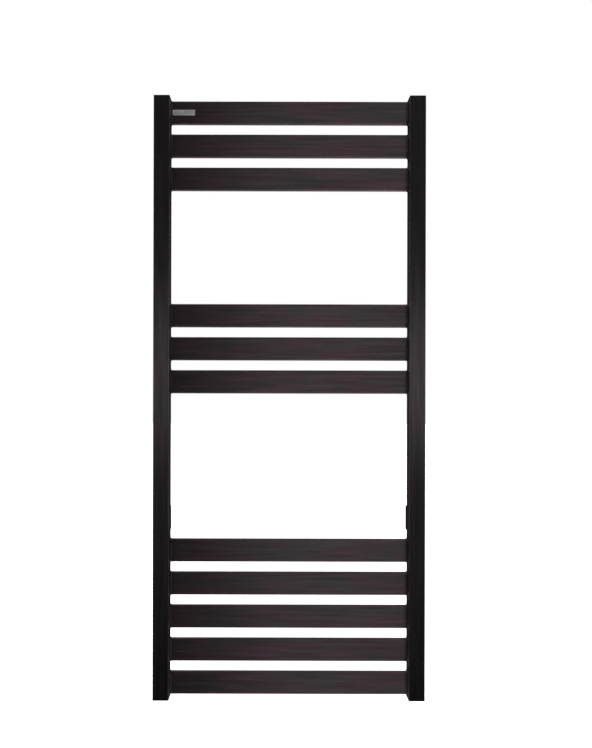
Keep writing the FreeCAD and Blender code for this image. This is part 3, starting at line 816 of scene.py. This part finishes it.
def make_wall_plate(corner):
    """Plate on the wall with its two screw holes."""
    node = "wall_plate_" + corner
    width, thickness, height = size_of(node)
    centre = centre_of(node)
    place = away_from_wall((centre.x, 0.0, centre.z))
    profile = soften([(0.5, 0), (0, 0), (0, thickness), (1.2, thickness)], 0.5)
    shape = loft(box_rings(width, height, 2.5, profile))
    piece = mesh_object("bracket_plate_" + corner, placed(shape, place))
    drills = []
    for sign in (-1, 1):
        drill = loft(turned_rings([(SCREW_HOLE, -1.0), (SCREW_HOLE, thickness - 0.3),
                                   (SCREW_HOLE + 0.8, thickness + 0.5)], even_angles(48)))
        hole = Matrix.Translation((0, sign * SCREW_HOLE_GAP / 2, 0))
        drills.append(placed(drill, place @ hole))
    combine(piece, joined(*drills), "DIFFERENCE")
    finish_piece(piece, "wall_brackets", powder, [node])


def make_sleeve(corner, sign):
    """Outer tube of the bracket, with the cross hole for its lock screw."""
    node = "bracket_tube_" + corner
    centre = centre_of(node)
    length = size_of(node).y
    outer = size_of(node).x / 2
    profile = soften([(SLEEVE_BORE, 0), (outer, 0), (outer, length), (SLEEVE_BORE, length)],
                     0.6, closed=True)
    piece = mesh_object("bracket_sleeve_" + corner,
                        placed(loft(turned_rings(profile, even_angles(96)), wrap=True),
                               towards_wall_from(node)))
    screw = centre_of("lock_screw_" + corner)
    drill = loft(turned_rings([(LOCK_HOLE, 4.0), (LOCK_HOLE, outer - 0.5), (LOCK_HOLE + 0.5, outer + 0.2),
                               (LOCK_HOLE + 0.5, outer + 2.0)], even_angles(48)))
    outwards = placing((centre.x, screw.y, screw.z), (0, sign, 0), (0, 0, 1))
    combine(piece, placed(drill, outwards), "DIFFERENCE")
    finish_piece(piece, "wall_brackets", powder, [node])

    wall = away_from_wall((centre.x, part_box(node)[1].y, centre.z))
    weld = mesh_object("sleeve_weld_" + corner, placed(fillet_weld(outer, 0.0, 0.9), wall))
    finish_piece(weld, "wall_brackets", powder, sharp=60)


def make_stem(corner):
    """Inner rod of the bracket."""
    node = "bracket_stem_" + corner
    length = size_of(node).y
    radius = size_of(node).x / 2
    stud = 9.0
    profile = soften([(1.0, 0), (STUD_RADIUS - 0.5, 0), (STUD_RADIUS, 0.6), (STUD_RADIUS, stud),
                      (radius, stud), (radius, length - 1.0), (radius - 1.0, length), (1.0, length)], 0.3)
    rod = loft(turned_rings(profile, even_angles()))
    piece = mesh_object("bracket_rod_" + corner, placed(rod, towards_wall_from(node)))
    finish_piece(piece, "rack", stem_metal, [node])


def make_boss(corner):
    """Flanged boss in the back of the post, with the weld round its flange."""
    node = "bracket_boss_" + corner
    total = size_of(node).y
    flange = size_of(node).x / 2
    flange_thickness, stud_hole = 3.0, 10.0
    barrel = total - flange_thickness
    floor = total - stud_hole
    profile = soften([(1.0, 0), (BOSS_BARREL, 0), (BOSS_BARREL, barrel), (flange, barrel),
                      (flange, total), (STUD_RADIUS, total), (STUD_RADIUS, floor), (1.0, floor)], 0.5)
    body = loft(turned_rings(profile, even_angles(96)))
    shape = joined(body, fillet_weld(flange, barrel, 1.3))
    piece = mesh_object("rack_boss_" + corner, placed(shape, towards_wall_from(node)))
    finish_piece(piece, "rack", weld_coat, [node])


def make_lock_screw(corner, sign):
    """Threaded grub screw with a hexagon socket."""
    node = "lock_screw_" + corner
    low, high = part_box(node)
    centre = centre_of(node)
    length, diameter = size_of(node).x, size_of(node).z
    inner = low.x if sign > 0 else high.x
    place = placing((inner, centre.y, centre.z), (0, sign, 0), (0, 0, 1))
    angles = even_angles(48)
    radius = diameter / 2
    depth, pitch = 0.5, 1.0
    key_size, key_depth, key_tip = 3.0, 2.4, 2.5

    def key(angle):
        return flats(key_size, 6, angle)

    rings = turned_rings([(0.5, 0.0), (radius - depth - 0.2, 0.0), (radius - depth, 0.2)], angles)
    rings += threaded_rings(radius - depth, depth, pitch, 0.3, length - 0.3, angles, steps=8)
    rings += turned_rings([(radius - depth, length - 0.2), (radius - depth - 0.2, length)], angles)
    rings += [ring(lambda angle: key(angle) + 0.15, length, angles), ring(key, length - 0.15, angles),
              ring(key, length - key_depth, angles), ring(0.4, length - key_tip, angles)]
    piece = mesh_object("grub_screw_" + corner, placed(loft(rings), place))
    finish_piece(piece, "lock_screw_" + corner, oxide, [node])


# ---------------------------------------------------------------------------------------
# Blank name plate
# ---------------------------------------------------------------------------------------

def make_badge():
    """Blank plate with a slim raised border."""
    node = "badge_plate"
    width, thickness, height = size_of(node)
    centre = centre_of(node)
    place = away_from_wall((centre.x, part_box(node)[1].y, centre.z))
    profile = soften([(0.1, 0), (0, 0), (0, thickness), (0.7, thickness), (0.85, thickness - 0.15),
                      (1.2, thickness - 0.15)], 0.12)
    shape = loft(box_rings(width, height, 1.5, profile))
    piece = mesh_object("blank_name_plate", placed(shape, place))
    finish_piece(piece, "rack", badge_metal, [node])


for side, sign in SIDES:
    make_post(side)
    make_top_cap(side)
    make_valve_port(side)
    make_rail_welds(side, sign)
for node in RAILS:
    make_rail(node)
make_end_socket("vent_socket", "right")
make_end_socket("plug_socket", "left")
make_gasket("vent_gasket", "right")
make_gasket("plug_gasket", "left")
make_vent_body()
make_blanking_plug()
make_vent_spout()
make_bleed_screw()
for corner in CORNERS:
    sign = -1 if corner.endswith("left") else 1
    make_wall_plate(corner)
    make_sleeve(corner, sign)
    make_stem(corner)
    make_boss(corner)
    make_lock_screw(corner, sign)
make_badge()


# ---------------------------------------------------------------------------------------
# Stage, light and camera
# ---------------------------------------------------------------------------------------

def make_floor():
    """Plain white floor a little way under the rack."""
    size, drop = 30.0, 0.25
    floor_z = CAD_BOX[0][2] - drop
    mesh = bpy.data.meshes.new("floor")
    mesh.from_pydata([(-size, -size, floor_z), (size, -size, floor_z),
                      (size, size, floor_z), (-size, size, floor_z)], [], [(0, 1, 2, 3)])
    floor = bpy.data.objects.new("floor", mesh)
    scene.collection.objects.link(floor)
    material, nodes = new_material("white_floor")
    nodes.surface(Base_Color=(0.85, 0.85, 0.85, 1.0), Roughness=0.9,
                  Emission_Color=(1.0, 1.0, 1.0, 1.0), Emission_Strength=1.0)
    mesh.materials.append(material)
    floor.visible_glossy = False
    floor.visible_diffuse = False
    floor.visible_shadow = False


# Strength, turn from, turn to, rise from, rise to, softness of turn, softness of rise.
# A turn of 400 or a rise of 120 lies past every direction, so the panel has no edge there.
PANELS = [
    (0.5, -3.0, 11.0, -16.0, 35.0, 4.0, 8.0),       # softbox in front, right of the middle
    (1.2, -3.0, 11.0, -60.0, -30.0, 4.0, 4.0),      # white card under it
    (0.5, -20.0, 25.0, -2.0, 5.0, 5.0, 4.0),        # long strip light at half height
    (0.7, 15.0, 30.0, -3.0, 3.0, 3.0, 3.0),         # kicker on the right
    (1.0, 40.0, 85.0, 0.0, 5.0, 10.0, 3.0),         # far lamp on the right
    (1.0, -85.0, -45.0, 0.0, 5.0, 10.0, 3.0),       # far lamp on the left
    (0.4, -400.0, 400.0, 52.0, 120.0, 50.0, 10.0),  # ceiling
    (0.4, -400.0, 400.0, -120.0, -52.0, 50.0, 6.0),  # light thrown up by the floor
    (1.2, 15.0, 400.0, 26.0, 75.0, 4.0, 5.0),       # upper softboxes, right and behind
    (1.2, -400.0, -15.0, 26.0, 75.0, 4.0, 5.0),     # upper softboxes, left and behind
    (1.5, 15.0, 400.0, -75.0, -27.0, 4.0, 4.0),     # lower softboxes, right and behind
    (1.5, -400.0, -15.0, -75.0, -27.0, 4.0, 4.0),   # lower softboxes, left and behind
    (0.9, 75.0, 130.0, -25.0, 35.0, 12.0, 8.0),     # room at the side, right
    (0.9, -130.0, -75.0, -25.0, 35.0, 12.0, 8.0),   # room at the side, left
]


def make_world():
    """White room with soft light panels, seen only by the object.

    Angles are in degrees: the turn is 0 straight out from the wall and grows to the right,
    and the rise is 0 at the horizon.
    """
    world = bpy.data.worlds.new("studio")
    scene.world = world
    world.use_nodes = True
    nodes = Nodes(world.node_tree)
    where = nodes.add("ShaderNodeTexCoord")
    split = nodes.add("ShaderNodeSeparateXYZ")
    nodes.feed(split.inputs[0], where.outputs["Generated"])
    x, y, z = split.outputs
    rise = nodes.math("MULTIPLY", nodes.math("ARCSINE", z), math.degrees(1))
    turn = nodes.math("MULTIPLY", nodes.math("ARCTAN2", x, nodes.math("MULTIPLY", y, -1.0)),
                      math.degrees(1))

    def panel(strength, turn_low, turn_high, rise_low, rise_high, soft_turn, soft_rise):
        """A soft-edged panel of light between two turns and two rises."""
        left = nodes.span(turn, turn_low - soft_turn, turn_low + soft_turn, smooth=True)
        right = nodes.span(turn, turn_high + soft_turn, turn_high - soft_turn, smooth=True)
        low = nodes.span(rise, rise_low - soft_rise, rise_low + soft_rise, smooth=True)
        high = nodes.span(rise, rise_high + soft_rise, rise_high - soft_rise, smooth=True)
        sideways_part = nodes.math("MULTIPLY", left, right)
        upright_part = nodes.math("MULTIPLY", low, high)
        return nodes.math("MULTIPLY", nodes.math("MULTIPLY", sideways_part, upright_part), strength)

    total = 0.0
    for light in PANELS:
        total = nodes.math("ADD", panel(*light), total)

    path = nodes.add("ShaderNodeLightPath")
    white = nodes.span(path.outputs["Is Camera Ray"], 0.0, 1.0, total, 1.0)
    background = nodes.add("ShaderNodeBackground")
    background.inputs["Color"].default_value = (1.0, 1.0, 1.0, 1.0)
    nodes.feed(background.inputs["Strength"], white)
    output = nodes.add("ShaderNodeOutputWorld")
    nodes.feed(output.inputs["Surface"], background.outputs[0])


def make_camera():
    """In front of the rack at half its height, framed a little to the left and up."""
    low, high = Vector(CAD_BOX[0]), Vector(CAD_BOX[1])
    distance, aside = 1.9, 0.03
    roll = math.radians(-0.13)
    camera_data = bpy.data.cameras.new("camera")
    camera_data.lens = 46.19
    camera_data.sensor_fit = "AUTO"
    camera_data.sensor_width = 36.0
    camera_data.shift_x = 0.0293
    camera_data.shift_y = 0.0322
    camera = bpy.data.objects.new("camera", camera_data)
    camera.location = ((low.x + high.x) / 2 - aside, low.y - distance, (low.z + high.z) / 2)
    camera.rotation_euler = (TURN / 4, roll, 0.0)
    scene.collection.objects.link(camera)
    scene.camera = camera


make_floor()
make_world()
make_camera()
scene.view_settings.view_transform = "Standard"
